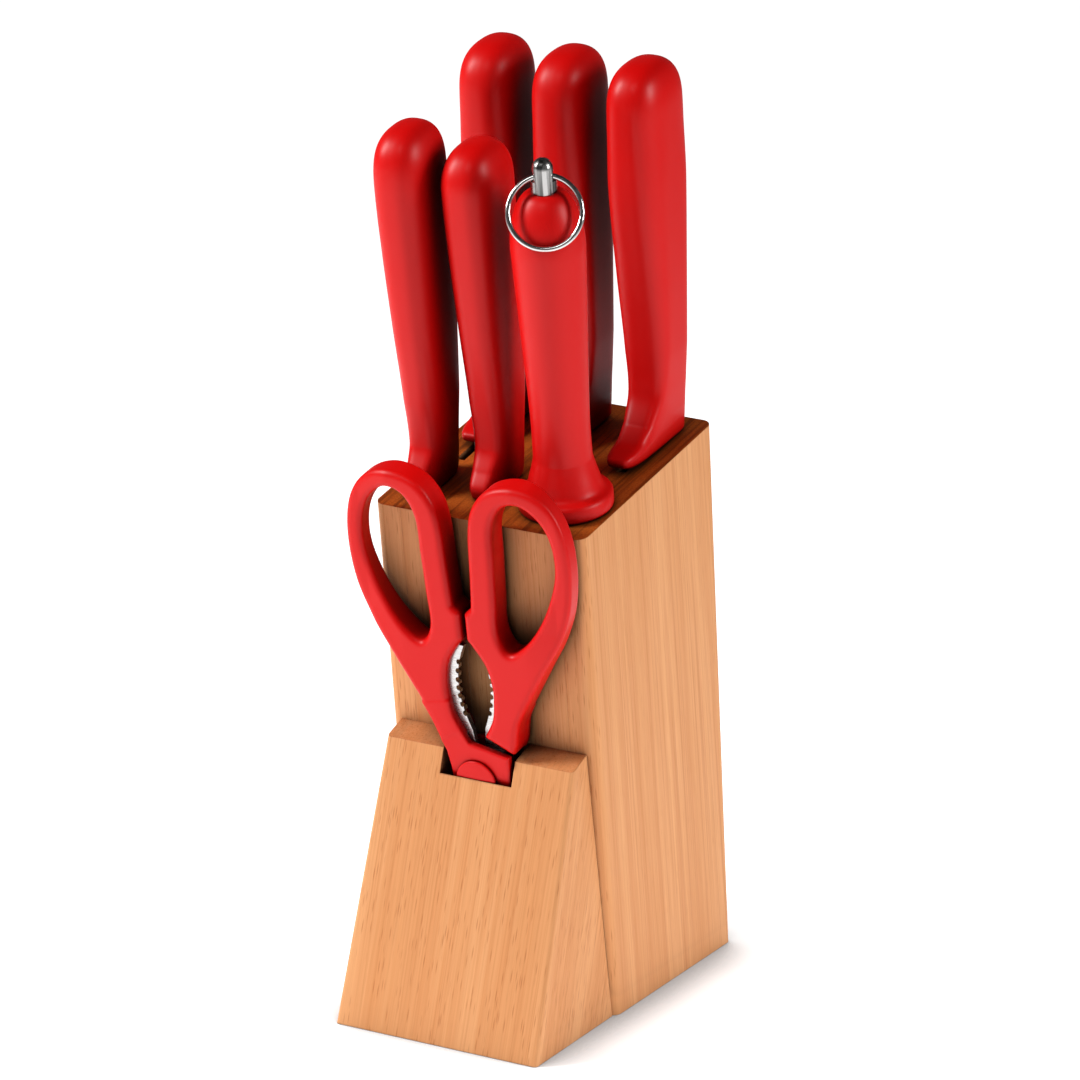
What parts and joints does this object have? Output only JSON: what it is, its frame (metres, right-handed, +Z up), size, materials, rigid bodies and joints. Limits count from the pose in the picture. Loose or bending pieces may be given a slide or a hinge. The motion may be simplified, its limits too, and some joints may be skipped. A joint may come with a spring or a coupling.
{
  "type": "knife block with knives",
  "caption": "Leaning beech knife block with red-handled kitchen knives, a sharpening steel with a hanging ring, and scissors in a sloping front block.",
  "frame": {"origin": "middle of the standing face, halfway between the foot of the scissors block and the foot of the back face", "axes": "+Z up, +X to the viewer's right when facing the scissors, -Y towards the front with the scissors"},
  "size_m": [0.0852, 0.1448, 0.3325],
  "materials": {
    "beech": "oiled, vertical grain with short dark flecks",
    "red_plastic": "satin",
    "blade_steel": "fine brushed",
    "polished_metal": "polished"
  },
  "bodies": {
    "block": {"left_board": "beech", "left_inner_board": "beech", "centre_board": "beech", "right_inner_board": "beech", "right_board": "beech", "scissors_block": "beech", "dowels": "beech"},
    "chef_knife": {"chef_blade": "blade_steel", "chef_handle": "red_plastic"},
    "bread_knife": {"bread_blade": "blade_steel", "bread_handle": "red_plastic"},
    "carving_knife": {"carving_blade": "blade_steel", "carving_handle": "red_plastic"},
    "utility_knife": {"utility_blade": "blade_steel", "utility_handle": "red_plastic"},
    "paring_knife": {"paring_blade": "blade_steel", "paring_handle": "red_plastic"},
    "sharpening_steel": {"steel_rod": "blade_steel", "steel_handle": "red_plastic", "steel_stud": "polished_metal"},
    "hanging_ring": {"steel_ring": "polished_metal"},
    "scissors_pivot": {"pivot_screw": "polished_metal", "pivot_cap": "red_plastic", "pivot_nut": "polished_metal"},
    "scissors_left_half": {"scissors_front_blade": "blade_steel", "scissors_left_handle": "red_plastic"},
    "scissors_right_half": {"scissors_rear_blade": "blade_steel", "scissors_right_handle": "red_plastic"}
  },
  "joints": [
    {"name": "chef_knife_draw", "type": "slide", "parent": "block", "child": "chef_knife", "axis": [0, -0.1461, 0.9893], "range_m": [0, 0.185]},
    {"name": "bread_knife_draw", "type": "slide", "parent": "block", "child": "bread_knife", "axis": [0, -0.1461, 0.9893], "range_m": [0, 0.185]},
    {"name": "carving_knife_draw", "type": "slide", "parent": "block", "child": "carving_knife", "axis": [0, -0.1461, 0.9893], "range_m": [0, 0.183]},
    {"name": "utility_knife_draw", "type": "slide", "parent": "block", "child": "utility_knife", "axis": [0, -0.1891, 0.982], "range_m": [0, 0.125]},
    {"name": "paring_knife_draw", "type": "slide", "parent": "block", "child": "paring_knife", "axis": [0, -0.1891, 0.982], "range_m": [0, 0.095]},
    {"name": "steel_draw", "type": "slide", "parent": "block", "child": "sharpening_steel", "axis": [0, -0.1891, 0.982], "range_m": [0, 0.178]},
    {"name": "ring_swing", "type": "hinge", "parent": "sharpening_steel", "child": "hanging_ring", "pos_m": [0.02301, -0.05432, 0.30443], "axis": [-0.8846, -0.458, -0.0882], "range_deg": [0, 290]},
    {"name": "scissors_draw", "type": "slide", "parent": "block", "child": "scissors_pivot", "axis": [0, -0.1891, 0.982], "range_m": [0, 0.092]},
    {"name": "scissors_left_open", "type": "hinge", "parent": "scissors_pivot", "child": "scissors_left_half", "pos_m": [-0.0002, -0.04076, 0.08859], "axis": [0, -0.982, -0.1891], "range_deg": [0, 3.3]},
    {"name": "scissors_right_open", "type": "hinge", "parent": "scissors_pivot", "child": "scissors_right_half", "pos_m": [-0.0002, -0.04076, 0.08859], "axis": [0, -0.982, -0.1891], "range_deg": [-3.3, 0]}
  ],
  "couplings": [
    {"joint": "scissors_right_open", "follows": "scissors_left_open", "ratio": -1}
  ]
}
